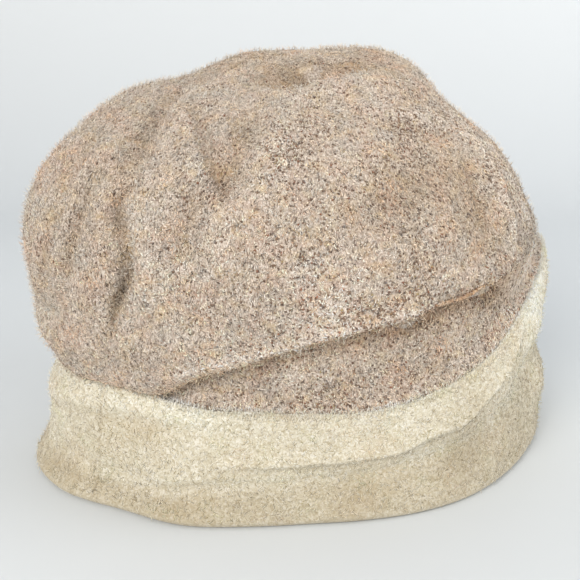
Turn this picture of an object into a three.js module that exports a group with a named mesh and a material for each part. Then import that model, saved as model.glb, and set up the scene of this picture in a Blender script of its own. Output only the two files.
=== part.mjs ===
// Slouch hat of fulled tweed wool with a turned-up cuff of boiled wool, standing on its cuff.
// Millimetres, +Z up. X runs along the long side of the oval, -Y is the front and z = 0 is the surface
// under the hat. Angles are degrees around Z from +X: -90 is the middle of the front, 180 the left end.

import * as THREE from 'three';

const clothThickness = 2.5; // the fulled tweed of the crown
const feltThickness = 5.0; // the cuff is a doubled layer of felt
const seatGap = 0.4; // between the crown and the cuff
const ovalMiddle = { x: -4.02, y: 0.42 }; // middle of the finished hat, seen from the middle of the tables

const footWidth = 13; // the fold at the bottom of the cuff
const footHeight = 14; // the hem of the crown stands on top of that fold
const footRound = 3.2; // rounding of its outer edge
const toeBevel = 2; // bevel of its inner edge
const valleyAbove = 0.6; // the cuff falls into its valley within this share of the valley's width
const valleyBelow = 1.3; // and comes out again below over this share
const rollShare = 0.45; // swelling of the cuff above its valley, as a share of the valley's depth
const rollOffset = 1.35; // height of that swelling over the valley, in widths of the valley
const rollWidth = 0.6;
const bellyReach = 1.3; // the lower swelling ends at this many times the valley's height

const lipReach = 3; // width of the slouch fold's lip, in radii of its edge
const lipRise = 0.8; // and its height
const tuckTurn = { below: 2, near: 0.25, far: 0.8 }; // the groove behind it turns over within these
const wallMiddle = 0.6; // middle of the wall inside the cuff, as a share of the cuff's height
const wallEdge = 3; // the wall leaves the cuff this far under its edge
const behindFold = { above: 0.5, behind: 1, rise: 5 }; // course of the inner face behind the fold

// The cuff: foot and top are its reach on the surface and at the upper edge, height is that of the
// upper edge and belly the swelling of the lower part. Valley is the height of the long dent that runs
// along the cuff, dent its depth and width how far above it the cuff stands out in full.
const cuffStations = [
  { angle: -180, foot: 117.5, top: 104.5, height: 46, belly: 1.8, valley: 14, dent: 0.2, width: 6 },
  { angle: -165, foot: 112.5, top: 102, height: 47, belly: 1.8, valley: 13, dent: 0.5, width: 6 },
  { angle: -150, foot: 100, top: 92, height: 47.3, belly: 1.2, valley: 11, dent: 0.9, width: 6 },
  { angle: -135, foot: 93.5, top: 85.5, height: 44, belly: 0.8, valley: 12, dent: 1.1, width: 6 },
  { angle: -120, foot: 84.5, top: 77.5, height: 41.4, belly: 0.8, valley: 15.5, dent: 1.5, width: 6 },
  { angle: -105, foot: 79.5, top: 73.5, height: 40.5, belly: 0.8, valley: 16.5, dent: 2.1, width: 6 },
  { angle: -90, foot: 79.5, top: 74, height: 40.5, belly: 0.8, valley: 17, dent: 2.7, width: 6 },
  { angle: -75, foot: 82.5, top: 77, height: 43, belly: 0.8, valley: 19, dent: 3.2, width: 8 },
  { angle: -60, foot: 86.5, top: 82, height: 48.5, belly: 0.8, valley: 22, dent: 3.6, width: 10.5 },
  { angle: -45, foot: 90.5, top: 86, height: 55.5, belly: 1, valley: 26, dent: 3.9, width: 13.5 },
  { angle: -30, foot: 95.5, top: 91, height: 66, belly: 1.4, valley: 35, dent: 4, width: 14 },
  { angle: -15, foot: 102.8, top: 100.2, height: 79, belly: 2, valley: 46, dent: 4, width: 12 },
  { angle: 0, foot: 108, top: 107, height: 84.5, belly: 2.2, valley: 52, dent: 4, width: 11 },
  { angle: 20, foot: 103, top: 102, height: 83, belly: 1.6, valley: 53, dent: 3.2, width: 10 },
  { angle: 45, foot: 90, top: 87, height: 72, belly: 1, valley: 49, dent: 2, width: 9 },
  { angle: 70, foot: 80, top: 77, height: 61, belly: 0.8, valley: 42, dent: 1, width: 8 },
  { angle: 90, foot: 78, top: 75, height: 56, belly: 0.8, valley: 38, dent: 0.6, width: 8 },
  { angle: 115, foot: 82, top: 78, height: 52, belly: 0.8, valley: 32, dent: 0.2, width: 7 },
  { angle: 140, foot: 94, top: 88, height: 49, belly: 0.8, valley: 26, dent: 0, width: 7 },
  { angle: 160, foot: 109, top: 98.5, height: 47, belly: 0.8, valley: 22, dent: 0, width: 6 },
];

// The crown above its fold, as ovals: reach to each side, z in the middle of the oval, and how much
// higher it stands at its right end and at its back
const crownOvals = [
  { name: 'belly', z: 87, left: 113, right: 94, front: 77.5, back: 80, riseRight: 11, riseBack: 0 },
  { name: 'chest', z: 106, left: 114, right: 86, front: 75, back: 80, riseRight: 7, riseBack: 2 },
  { name: 'shoulder', z: 127, left: 103.5, right: 74.5, front: 64.5, back: 74, riseRight: 2, riseBack: 4 },
  { name: 'brow', z: 143, left: 81, right: 55, front: 48, back: 61, riseRight: 2, riseBack: 7 },
  { name: 'crest', z: 154, left: 46, right: 39, front: 28, back: 41, riseRight: 3, riseBack: 7 },
];
const crownTop = 161;

// The slouch fold, where the crown hangs over its own lower wall. Amount 1 is folded and 0 plain.
// Folded, lip is the height of the lowest edge and roll its radius, tuck the top of the groove behind
// it and gap the width of that groove. Plain, the wall leans out by flare while it rises by climb.
const foldStations = [
  { angle: -180, amount: 0.1, lip: 47, tuck: 48, gap: 2.4, roll: 2.4, flare: 10.5, climb: 15 },
  { angle: -165, amount: 0.8, lip: 47.5, tuck: 48.4, gap: 2, roll: 2.4, flare: 11, climb: 15 },
  { angle: -150, amount: 1, lip: 48, tuck: 49, gap: 1.6, roll: 2.3, flare: 10, climb: 15 },
  { angle: -141, amount: 1, lip: 48.8, tuck: 52, gap: 1.2, roll: 2.2, flare: 8, climb: 15 },
  { angle: -132, amount: 1, lip: 56, tuck: 61.5, gap: 1.2, roll: 2.2, flare: 8, climb: 15 },
  { angle: -122, amount: 1, lip: 60.4, tuck: 68, gap: 1.2, roll: 2.2, flare: 8, climb: 15 },
  { angle: -111, amount: 1, lip: 64.1, tuck: 72, gap: 1.2, roll: 2.2, flare: 8, climb: 15 },
  { angle: -100, amount: 1, lip: 68.6, tuck: 76, gap: 1.2, roll: 2.2, flare: 6, climb: 15 },
  { angle: -90, amount: 1, lip: 71.5, tuck: 79, gap: 1.2, roll: 2.2, flare: 6, climb: 15 },
  { angle: -75, amount: 1, lip: 75.4, tuck: 82.3, gap: 1.2, roll: 2.1, flare: 6, climb: 15 },
  { angle: -60, amount: 1, lip: 78.8, tuck: 85, gap: 1.4, roll: 1.6, flare: 5, climb: 30 },
  { angle: -50, amount: 0.9, lip: 85, tuck: 89.5, gap: 1.8, roll: 1.4, flare: 4, climb: 28 },
  { angle: -41, amount: 0.5, lip: 90, tuck: 93, gap: 2, roll: 1.4, flare: 4, climb: 26 },
  { angle: -30, amount: 0.1, lip: 92, tuck: 95, gap: 2, roll: 1.6, flare: 3.4, climb: 22 },
  { angle: -15, amount: 0, lip: 94, tuck: 97, gap: 2, roll: 2.4, flare: -0.5, climb: 14 },
  { angle: 10, amount: 0, lip: 94, tuck: 97, gap: 2, roll: 2.4, flare: -3, climb: 10 },
  { angle: 40, amount: 0, lip: 82, tuck: 86, gap: 2, roll: 2.4, flare: 3, climb: 14 },
  { angle: 90, amount: 0, lip: 66, tuck: 70, gap: 2, roll: 2.4, flare: 7, climb: 15 },
  { angle: 150, amount: 0, lip: 52, tuck: 55, gap: 2.4, roll: 2.4, flare: 10, climb: 15 },
];

// How a plain wall opens out: share of its climb and share of its flare
const plainPath = [
  { up: 0.1, out: 0.03 },
  { up: 0.27, out: 0.15 },
  { up: 0.43, out: 0.32 },
  { up: 0.6, out: 0.52 },
  { up: 0.8, out: 0.77 },
  { up: 1, out: 1 },
];

// Valleys in the side of the crown, each from one angle and height down to another
const sideValleys = [
  { name: 'left pinch', fromAngle: -147, fromZ: 113, toAngle: -145.5, toZ: 76, width: 5, depth: 4.6 },
  { name: 'left fold', fromAngle: -157, fromZ: 123, toAngle: -158, toZ: 92, width: 5, depth: 2.4 },
  { name: 'brow fold', fromAngle: -150, fromZ: 142, toAngle: -127, toZ: 124, width: 5.5, depth: 2.6 },
];

// Mounds of the top, or dents where rise is below 0, by their middle and half sizes in plan. Turn is
// the angle of their length.
const topMounds = [
  { name: 'back hump', x: 34, y: 17, along: 22, across: 20, turn: 0, rise: 3.2 },
  { name: 'right corner', x: 50, y: 12, along: 12, across: 16, turn: 0, rise: 2 },
  { name: 'front right mound', x: 24, y: -25, along: 26, across: 10, turn: -4, rise: 3.4 },
  { name: 'bowl', x: 2, y: -9, along: 17, across: 9, turn: -28, rise: -5 },
  { name: 'left crest', x: -24, y: 0, along: 22, across: 6, turn: 12, rise: 2.2 },
  { name: 'valley behind the crest', x: -20, y: 12, along: 20, across: 7, turn: 12, rise: -3.4 },
  { name: 'back left lobe', x: -20, y: 30, along: 20, across: 13, turn: 0, rise: 3.6 },
  { name: 'left lobe', x: -70, y: 18, along: 18, across: 22, turn: 0, rise: 3 },
  { name: 'left dip', x: -44, y: 6, along: 10, across: 16, turn: 0, rise: -2 },
];
const moundsFadeIn = { from: 118, to: 142 }; // height over which they take hold

// Mesh steps, each as from, to and how many: angles around the hat, then knots along the profiles
const aroundSteps = [[-180, -168, 2], [-168, -120, 14], [-120, -20, 22], [-20, 20, 9], [20, 180, 25]];
const outerSteps = [[0, 2, 2], [2, 9, 17], [9, 14, 18]];
const innerSteps = [[9, 4, 9], [4, 0, 6]];
const cuffSteps = { foot: 2, face: 14, edge: 4 };

const { lerp, clamp, smoothstep, degToRad, euclideanModulo } = THREE.MathUtils;

function spread(steps) {
  return steps.flatMap(([from, to, count]) =>
    Array.from({ length: count }, (_, i) => lerp(from, to, i / count)));
}

const angles = spread(aroundSteps);

// Smooth closed interpolation of one column of a table whose rows stand at angles around the hat
function around(stations, column) {
  const count = stations.length;
  const row = (i) => stations[euclideanModulo(i, count)];
  const angleAt = (i) => row(i).angle + 360 * Math.floor(i / count);
  const valueAt = (i) => row(i)[column];
  const slopeAt = (i) => (valueAt(i + 1) - valueAt(i - 1)) / (angleAt(i + 1) - angleAt(i - 1));
  return (angle) => {
    const turned = angleAt(0) + euclideanModulo(angle - angleAt(0), 360);
    const i = stations.findLastIndex((station) => station.angle <= turned);
    const span = angleAt(i + 1) - angleAt(i);
    const t = (turned - angleAt(i)) / span;
    const leaving = (1 + 2 * t) * (1 - t) ** 2 * valueAt(i) + t * (1 - t) ** 2 * span * slopeAt(i);
    const arriving = t * t * (3 - 2 * t) * valueAt(i + 1) - t * t * (1 - t) * span * slopeAt(i + 1);
    return leaving + arriving;
  };
}

function readerOf(stations) {
  const names = Object.keys(stations[0]).filter((name) => name !== 'angle');
  const readers = names.map((name) => [name, around(stations, name)]);
  return (angle) => Object.fromEntries(readers.map(([name, read]) => [name, read(angle)]));
}

const cuffAt = readerOf(cuffStations);
const foldAt = readerOf(foldStations);

function hump(offset, width) {
  return Math.exp(-((offset / width) ** 2));
}

// The outer face of the cuff, first as its straight slant and then with its swellings and valley
function cuffSlant(cuff, z) {
  return lerp(cuff.foot, cuff.top, z / cuff.height);
}

function cuffFace(cuff, z) {
  const belly = cuff.belly * Math.sin(Math.PI * Math.min(1, z / (cuff.valley * bellyReach)));
  const above = (z - cuff.valley) / cuff.width;
  const valley = cuff.dent * hump(above, above > 0 ? valleyAbove : valleyBelow);
  const roll = rollShare * cuff.dent * hump(above - rollOffset, rollWidth);
  return cuffSlant(cuff, z) + belly - valley + roll;
}

// The outside of the crown's wall where it stands inside the cuff
function seat(cuff, z) {
  return cuffSlant(cuff, z) - feltThickness - seatGap;
}

// Reach of an oval made of four quarter ellipses, and its height there
function ovalKnot(oval, angle) {
  const c = Math.cos(degToRad(angle));
  const s = Math.sin(degToRad(angle));
  const long = c > 0 ? oval.right : oval.left;
  const wide = s > 0 ? oval.back : oval.front;
  const reach = 1 / Math.hypot(c / long, s / wide);
  const riseAlong = (oval.riseRight * reach * c) / oval.right;
  const riseAcross = (oval.riseBack * reach * s) / oval.back;
  return [reach, oval.z + riseAlong + riseAcross];
}

// The outside of the crown at one angle as knots of reach and height, from the hem to the top
function crownKnots(angle) {
  const cuff = cuffAt(angle);
  const fold = foldAt(angle);
  const hem = footHeight + seatGap;
  const wall = seat(cuff, cuff.height);
  const inCuff = [
    [seat(cuff, hem), hem],
    [seat(cuff, cuff.height * wallMiddle), cuff.height * wallMiddle],
    [wall, cuff.height - wallEdge],
  ];
  const folded = [
    [wall, fold.tuck - tuckTurn.below],
    [wall + tuckTurn.near * fold.gap, fold.tuck],
    [wall + tuckTurn.far * fold.gap, fold.tuck],
    [wall + fold.gap, lerp(fold.lip, fold.tuck, 0.5)],
    [wall + fold.gap + (lipReach / 2) * fold.roll, fold.lip],
    [wall + fold.gap + lipReach * fold.roll, fold.lip + lipRise * fold.roll],
  ];
  const foldKnots = plainPath.map(({ up, out }, i) => [
    lerp(wall + out * fold.flare, folded[i][0], fold.amount),
    lerp(cuff.height + up * fold.climb, folded[i][1], fold.amount),
  ]);
  const upper = [...crownOvals.map((oval) => ovalKnot(oval, angle)), [0, crownTop]];
  return { inCuff, foldKnots, upper, amount: fold.amount };
}

// A knot moved square to the profile, into the wall, by the thickness of the cloth
function inward(before, knot, after) {
  const run = after[0] - before[0];
  const climb = after[1] - before[1];
  const length = Math.hypot(run, climb);
  const reach = knot[0] - (clothThickness * climb) / length;
  return [Math.max(0, reach), knot[1] + (clothThickness * run) / length];
}

// The inside of the crown. It passes straight behind the fold, whose layers lie together there.
function insideKnots({ inCuff, foldKnots, upper, amount }) {
  const [hem, middle, edge] = inCuff;
  const groove = foldKnots.slice(0, 3);
  const [belowLip, lip] = foldKnots.slice(-2);
  const neckTop = Math.max(...groove.map((knot) => knot[1]));
  const neckReach = Math.min(edge[0], ...groove.map((knot) => knot[0]));
  const neck = [neckReach, neckTop + behindFold.above];
  const lower = [hem, middle, neck].map(([reach, z]) => [reach - clothThickness, z]);
  const plain = inward(belowLip, lip, upper[0]);
  const folded = [lip[0] - clothThickness - behindFold.behind, Math.max(lip[1], neckTop) + behindFold.rise];
  const aboveFold = plain.map((value, i) => lerp(value, folded[i], amount));
  const offset = upper.map((knot, i) => {
    const before = i > 0 ? upper[i - 1] : lip;
    const after = upper[i + 1] ?? [-before[0], before[1]];
    return inward(before, knot, after);
  });
  return [...lower, aboveFold, ...offset];
}

function sidePush(angle, reach, z) {
  return sideValleys.reduce((sum, valley) => {
    const run = clamp((valley.fromZ - z) / (valley.fromZ - valley.toZ), 0, 1);
    const middle = lerp(valley.fromAngle, valley.toAngle, run);
    const away = euclideanModulo(angle - middle + 180, 360) - 180;
    const beyond = Math.max(0, z - valley.fromZ, valley.toZ - z);
    return sum + valley.depth * hump(degToRad(away) * reach, valley.width) * hump(beyond, valley.width);
  }, 0);
}

function topLift(x, y, z) {
  const lift = topMounds.reduce((sum, mound) => {
    const [c, s] = [Math.cos(degToRad(mound.turn)), Math.sin(degToRad(mound.turn))];
    const [right, back] = [x - mound.x, y - mound.y];
    const away = Math.hypot((right * c + back * s) / mound.along, (back * c - right * s) / mound.across);
    return sum + mound.rise * hump(away, 1);
  }, 0);
  return lift * smoothstep(z, moundsFadeIn.from, moundsFadeIn.to);
}

function place(angle, reach, z) {
  const x = reach * Math.cos(degToRad(angle)) - ovalMiddle.x;
  const y = reach * Math.sin(degToRad(angle)) - ovalMiddle.y;
  return new THREE.Vector3(x, y, z);
}

function placeOnCrown(angle, reach, z) {
  const pushed = reach - sidePush(angle, reach, z);
  const x = pushed * Math.cos(degToRad(angle));
  const y = pushed * Math.sin(degToRad(angle));
  return place(angle, pushed, z + topLift(x, y, z));
}

// Rings joined into one closed skin. A ring of one point closes an end, a loop joins last to first.
function skin(rings, loop) {
  const positions = rings.flat().flatMap((point) => point.toArray());
  const starts = rings.map((ring, i) => rings.slice(0, i).flat().length);
  const corner = (i, j) => starts[i] + (rings[i].length > 1 ? j % angles.length : 0);
  const bands = loop ? rings.length : rings.length - 1;
  const index = [];
  for (let i = 0; i < bands; i += 1) {
    const next = (i + 1) % rings.length;
    for (let j = 0; j < angles.length; j += 1) {
      const [a, b] = [corner(i, j), corner(i, j + 1)];
      const [c, d] = [corner(next, j + 1), corner(next, j)];
      if (a !== b) index.push(a, b, c);
      if (c !== d) index.push(a, c, d);
    }
  }
  const geometry = new THREE.BufferGeometry();
  geometry.setAttribute('position', new THREE.Float32BufferAttribute(positions, 3));
  geometry.setIndex(index);
  geometry.computeVertexNormals();
  return geometry;
}

function crownRings(profiles, steps) {
  const curves = profiles.map((knots) => {
    const points = knots.map(([reach, z]) => new THREE.Vector3(reach, 0, z));
    return new THREE.CatmullRomCurve3(points, false, 'centripetal');
  });
  const last = profiles[0].length - 1;
  return steps.map((step) => angles.map((angle, j) => {
    const point = curves[j].getPoint(step / last);
    return placeOnCrown(angle, point.x, point.z);
  }));
}

// One chain of rings: down the inside from the top, around the hem and up the outside
function crownGeometry() {
  const profiles = angles.map(crownKnots);
  const outside = profiles.map(({ inCuff, foldKnots, upper }) => [...inCuff, ...foldKnots, ...upper]);
  const inner = crownRings(profiles.map(insideKnots), [...spread(innerSteps).slice(1), 0]);
  const outer = crownRings(outside, spread(outerSteps));
  const top = [placeOnCrown(0, 0, crownTop)];
  const underTop = [placeOnCrown(0, 0, crownTop - clothThickness)];
  return skin([underTop, ...inner, ...outer, top], false);
}

function arc(middle, wide, high, from, to, steps) {
  return Array.from({ length: steps + 1 }, (_, i) => {
    const turn = degToRad(lerp(from, to, i / steps));
    return [middle[0] + wide * Math.cos(turn), middle[1] + high * Math.sin(turn)];
  });
}

// The closed section of the cuff at one angle: under the foot, up the face, over the edge, down inside
function cuffSection(angle) {
  const cuff = cuffAt(angle);
  const halfFelt = feltThickness / 2;
  const edgeStart = cuff.height - halfFelt;
  const inside = (z) => [cuffSlant(cuff, z) - feltThickness, z];
  const outside = (z) => [cuffFace(cuff, z), z];
  const foot = cuffFace(cuff, footRound) - footRound;
  const toe = foot + footRound - footWidth;
  const halfEdge = (outside(edgeStart)[0] - inside(edgeStart)[0]) / 2;
  return [
    [toe, 0],
    ...arc([foot, footRound], footRound, footRound, -90, 0, cuffSteps.foot),
    ...spread([[footRound, edgeStart, cuffSteps.face]]).slice(1).map(outside),
    ...arc([inside(edgeStart)[0] + halfEdge, edgeStart], halfEdge, halfFelt, 0, 180, cuffSteps.edge),
    inside(lerp(edgeStart, footHeight, 0.5)),
    inside(footHeight),
    [toe + toeBevel, footHeight],
    [toe, footHeight - toeBevel],
  ];
}

function cuffGeometry() {
  const sections = angles.map(cuffSection);
  const rings = sections[0].map((_, i) => angles.map((angle, j) => place(angle, ...sections[j][i])));
  return skin(rings, true);
}

const tweed = new THREE.MeshStandardMaterial({ color: 0xb39c86, roughness: 0.95, metalness: 0 });
const boiledWool = new THREE.MeshStandardMaterial({ color: 0xd8ccb0, roughness: 0.97, metalness: 0 });

const crown = new THREE.Mesh(crownGeometry(), tweed);
crown.name = 'crown';

const band = new THREE.Mesh(cuffGeometry(), boiledWool);
band.name = 'band';

const hat = new THREE.Group();
hat.add(crown, band);

export default hat;
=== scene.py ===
import math

import bpy
import numpy as np
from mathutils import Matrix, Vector


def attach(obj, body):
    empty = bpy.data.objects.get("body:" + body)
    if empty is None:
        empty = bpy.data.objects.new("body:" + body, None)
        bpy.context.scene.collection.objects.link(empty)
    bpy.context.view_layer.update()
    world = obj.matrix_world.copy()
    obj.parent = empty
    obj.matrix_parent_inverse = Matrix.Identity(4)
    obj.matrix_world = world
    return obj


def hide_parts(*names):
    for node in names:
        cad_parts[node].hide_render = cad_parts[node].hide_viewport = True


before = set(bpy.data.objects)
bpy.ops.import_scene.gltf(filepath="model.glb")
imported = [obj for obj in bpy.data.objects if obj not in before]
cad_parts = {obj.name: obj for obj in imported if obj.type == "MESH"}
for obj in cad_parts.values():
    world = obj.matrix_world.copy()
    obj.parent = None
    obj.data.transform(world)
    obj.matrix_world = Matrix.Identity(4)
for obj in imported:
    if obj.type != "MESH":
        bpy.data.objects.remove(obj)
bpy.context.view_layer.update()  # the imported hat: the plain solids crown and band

mm = 0.001
print("frame loaded:", ", ".join(sorted(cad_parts)))


# Helpers

def linearOf(hexColour):
    channels = [int(hexColour[i:i + 2], 16) / 255 for i in (1, 3, 5)]
    return [c / 12.92 if c <= 0.04045 else ((c + 0.055) / 1.055) ** 2.4 for c in channels] + [1.0]


def addNode(tree, kind, settings=None, links=None):
    # capitalised and numbered settings are inputs, the others belong to the node itself
    made = tree.nodes.new("ShaderNode" + kind)
    for key, value in (settings or {}).items():
        if key == "stops":
            ramp = made.color_ramp.elements
            while len(ramp) < len(value):
                ramp.new(1.0)
            for element, (position, colour) in zip(ramp, value):
                element.position = position
                element.color = linearOf(colour)
        elif isinstance(key, int) or key[0].isupper():
            made.inputs[key].default_value = value
        else:
            setattr(made, key, value)
    for key, source in (links or {}).items():
        tree.links.new(source, made.inputs[key])
    return made


def newMaterial(name):
    material = bpy.data.materials.new(name)
    material.use_nodes = True
    material.node_tree.nodes.clear()
    return material, material.node_tree


def inMillimetres(tree, sizes):
    # object coordinates counted in these sizes, in mm, along x, y and z
    coords = addNode(tree, "TexCoord")
    return addNode(tree, "VectorMath", {"operation": "MULTIPLY", 1: tuple(1000 / size for size in sizes)},
                   {0: coords.outputs["Object"]}).outputs[0]


def buildPiece(name, points, faces, material, tones=None):
    mesh = bpy.data.meshes.new(name)
    corners = faces.shape[1]
    mesh.vertices.add(len(points))
    mesh.vertices.foreach_set("co", np.asarray(points * mm, np.float32).ravel())
    mesh.loops.add(faces.size)
    mesh.loops.foreach_set("vertex_index", faces.astype(np.int32).ravel())
    mesh.polygons.add(len(faces))
    mesh.polygons.foreach_set("loop_start", np.arange(len(faces), dtype=np.int32) * corners)
    mesh.polygons.foreach_set("use_smooth", np.ones(len(faces), bool))
    mesh.update(calc_edges=True)
    if tones is not None:
        tone = mesh.color_attributes.new("woolTone", "FLOAT_COLOR", "POINT")
        tone.data.foreach_set("color", np.asarray(tones, np.float32).ravel())
    mesh.materials.append(material)
    piece = bpy.data.objects.new(name, mesh)
    bpy.context.scene.collection.objects.link(piece)
    return piece


def spread(spans):
    # evenly stepped values from (start, end, count) rows
    return np.concatenate([np.linspace(a, b, count, endpoint=False) for a, b, count in spans])


def smoothStep(value, low, high):
    t = np.clip((value - low) / (high - low), 0, 1)
    return t * t * (3 - 2 * t)


def hump(offset, width):
    return np.exp(-(offset / width) ** 2)


def unit(vectors):
    return vectors / np.maximum(np.linalg.norm(vectors, axis=-1, keepdims=True), 1e-9)


def degreesFrom(start, angles):
    # how far the angles lie from this one, between -180 and 180
    return np.mod(angles - start + 180, 360) - 180


def waves(points, size, seed):
    # smooth random field of unit strength, its lumps about as wide as size
    rng = np.random.default_rng(seed)
    count = 14
    ways = rng.normal(size=(count, 3))
    ways *= math.pi / (size * np.linalg.norm(ways, axis=1, keepdims=True))
    ways *= rng.uniform(0.75, 1.25, (count, 1))
    phases = rng.uniform(0, 2 * math.pi, count)
    return np.sin(points @ ways.T + phases).sum(-1) / math.sqrt(count / 2)


# The shape of the hat in millimetres, the same as in the plain solids. Angles are degrees around Z
# from +X, so -90 is the middle of the front.

hat = {
    "cloth": 2.5,  # thickness of the tweed
    "felt": 5.0,  # thickness of the doubled cuff
    "seatGap": 0.4,
    "middle": (-4.02, 0.42),  # middle of the hat, seen from the middle of the tables
    "footWidth": 13,
    "footHeight": 14,
    "footRound": 3.2,
    "toeBevel": 2,
    "valleyAbove": 0.6,
    "valleyBelow": 1.3,
    "rollShare": 0.45,
    "rollOffset": 1.35,
    "rollWidth": 0.6,
    "bellyReach": 1.3,
    "lipReach": 3,
    "lipRise": 0.8,
    "wallMiddle": 0.6,
    "wallEdge": 3,
    "tuckRun": 2,  # straight cloth below the tuck
    "tuckTurn": (0.25, 0.8),  # where the tuck turns over, in shares of its gap
    "neckRise": 0.5,
    "lipInset": 1,
    "lipClear": 5,
    "moundHeights": (118, 142),  # the mounds fade in between these
    "top": 161,
}

cuffColumns = "angle foot top height belly valley dent width"
cuffRows = [
    (-180, 117.5, 104.5, 46, 1.8, 14, 0.2, 6),
    (-165, 112.5, 102, 47, 1.8, 13, 0.5, 6),
    (-150, 100, 92, 47.3, 1.2, 11, 0.9, 6),
    (-135, 93.5, 85.5, 44, 0.8, 12, 1.1, 6),
    (-120, 84.5, 77.5, 41.4, 0.8, 15.5, 1.5, 6),
    (-105, 79.5, 73.5, 40.5, 0.8, 16.5, 2.1, 6),
    (-90, 79.5, 74, 40.5, 0.8, 17, 2.7, 6),
    (-75, 82.5, 77, 43, 0.8, 19, 3.2, 8),
    (-60, 86.5, 82, 48.5, 0.8, 22, 3.6, 10.5),
    (-45, 90.5, 86, 55.5, 1, 26, 3.9, 13.5),
    (-30, 95.5, 91, 66, 1.4, 35, 4, 14),
    (-15, 102.8, 100.2, 79, 2, 46, 4, 12),
    (0, 108, 107, 84.5, 2.2, 52, 4, 11),
    (20, 103, 102, 83, 1.6, 53, 3.2, 10),
    (45, 90, 87, 72, 1, 49, 2, 9),
    (70, 80, 77, 61, 0.8, 42, 1, 8),
    (90, 78, 75, 56, 0.8, 38, 0.6, 8),
    (115, 82, 78, 52, 0.8, 32, 0.2, 7),
    (140, 94, 88, 49, 0.8, 26, 0, 7),
    (160, 109, 98.5, 47, 0.8, 22, 0, 6),
]

foldColumns = "angle amount lip tuck gap roll flare climb"
foldRows = [
    (-180, 0.1, 47, 48, 2.4, 2.4, 10.5, 15),
    (-165, 0.8, 47.5, 48.4, 2, 2.4, 11, 15),
    (-150, 1, 48, 49, 1.6, 2.3, 10, 15),
    (-141, 1, 48.8, 52, 1.2, 2.2, 8, 15),
    (-132, 1, 56, 61.5, 1.2, 2.2, 8, 15),
    (-122, 1, 60.4, 68, 1.2, 2.2, 8, 15),
    (-111, 1, 64.1, 72, 1.2, 2.2, 8, 15),
    (-100, 1, 68.6, 76, 1.2, 2.2, 6, 15),
    (-90, 1, 71.5, 79, 1.2, 2.2, 6, 15),
    (-75, 1, 75.4, 82.3, 1.2, 2.1, 6, 15),
    (-60, 1, 78.8, 85, 1.4, 1.6, 5, 30),
    (-50, 0.9, 85, 89.5, 1.8, 1.4, 4, 28),
    (-41, 0.5, 90, 93, 2, 1.4, 4, 26),
    (-30, 0.1, 92, 95, 2, 1.6, 3.4, 22),
    (-15, 0, 94, 97, 2, 2.4, -0.5, 14),
    (10, 0, 94, 97, 2, 2.4, -3, 10),
    (40, 0, 82, 86, 2, 2.4, 3, 14),
    (90, 0, 66, 70, 2, 2.4, 7, 15),
    (150, 0, 52, 55, 2.4, 2.4, 10, 15),
]

plainPath = [(0.1, 0.03), (0.27, 0.15), (0.43, 0.32), (0.6, 0.52), (0.8, 0.77), (1, 1)]  # up, out

ovalColumns = "z left right front back riseRight riseBack"
ovalRows = [
    (87, 113, 94, 77.5, 80, 11, 0),  # belly
    (106, 114, 86, 75, 80, 7, 2),  # chest
    (127, 103.5, 74.5, 64.5, 74, 2, 4),  # shoulder
    (143, 81, 55, 48, 61, 2, 7),  # brow
    (154, 46, 39, 28, 41, 3, 7),  # crest
]

valleyColumns = "fromAngle fromZ toAngle toZ width depth"
sideValleys = [
    (-147, 113, -145.5, 76, 5, 4.6),  # left pinch
    (-157, 123, -158, 92, 5, 2.4),  # left fold
    (-150, 142, -127, 124, 5.5, 2.6),  # brow fold
]

moundColumns = "x y along across turn rise"
topMounds = [
    (34, 17, 22, 20, 0, 3.2),  # back hump
    (50, 12, 12, 16, 0, 2),  # right corner
    (24, -25, 26, 10, -4, 3.4),  # front right mound
    (2, -9, 17, 9, -28, -5),  # bowl
    (-24, 0, 22, 6, 12, 2.2),  # left crest
    (-20, 12, 20, 7, 12, -3.4),  # valley behind the crest
    (-20, 30, 20, 13, 0, 3.6),  # back left lobe
    (-70, 18, 18, 22, 0, 3),  # left lobe
    (-44, 6, 10, 16, 0, -2),  # left dip
]


def named(columns, row):
    return dict(zip(columns.split(), row))


def readTable(columns, rows, angles):
    # smooth closed interpolation of every column at these angles
    table = np.array(rows, float)
    count = len(rows)
    stations = table[:, 0]
    turned = np.mod(angles - stations[0], 360) + stations[0]
    i = np.searchsorted(stations, turned, side="right") - 1

    def angleAt(k):
        return stations[k % count] + 360 * (k // count)

    def valueAt(k):
        return table[k % count, 1:]

    def slopeAt(k):
        return (valueAt(k + 1) - valueAt(k - 1)) / (angleAt(k + 1) - angleAt(k - 1))[:, None]

    span = (angleAt(i + 1) - angleAt(i))[:, None]
    t = (turned - angleAt(i))[:, None] / span
    leaving = (1 + 2 * t) * (1 - t) ** 2 * valueAt(i) + t * (1 - t) ** 2 * span * slopeAt(i)
    arriving = t * t * (3 - 2 * t) * valueAt(i + 1) - t * t * (1 - t) * span * slopeAt(i + 1)
    return named(columns.split(maxsplit=1)[1], (leaving + arriving).T)


def cuffSlant(cuff, z):
    return cuff["foot"] + (cuff["top"] - cuff["foot"]) * z / cuff["height"]


def cuffFace(cuff, z):
    belly = cuff["belly"] * np.sin(math.pi * np.minimum(1, z / (cuff["valley"] * hat["bellyReach"])))
    above = (z - cuff["valley"]) / cuff["width"]
    valley = cuff["dent"] * hump(above, np.where(above > 0, hat["valleyAbove"], hat["valleyBelow"]))
    roll = hat["rollShare"] * cuff["dent"] * hump(above - hat["rollOffset"], hat["rollWidth"])
    return cuffSlant(cuff, z) + belly - valley + roll


def seat(cuff, z):
    return cuffSlant(cuff, z) - hat["felt"] - hat["seatGap"]


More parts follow.
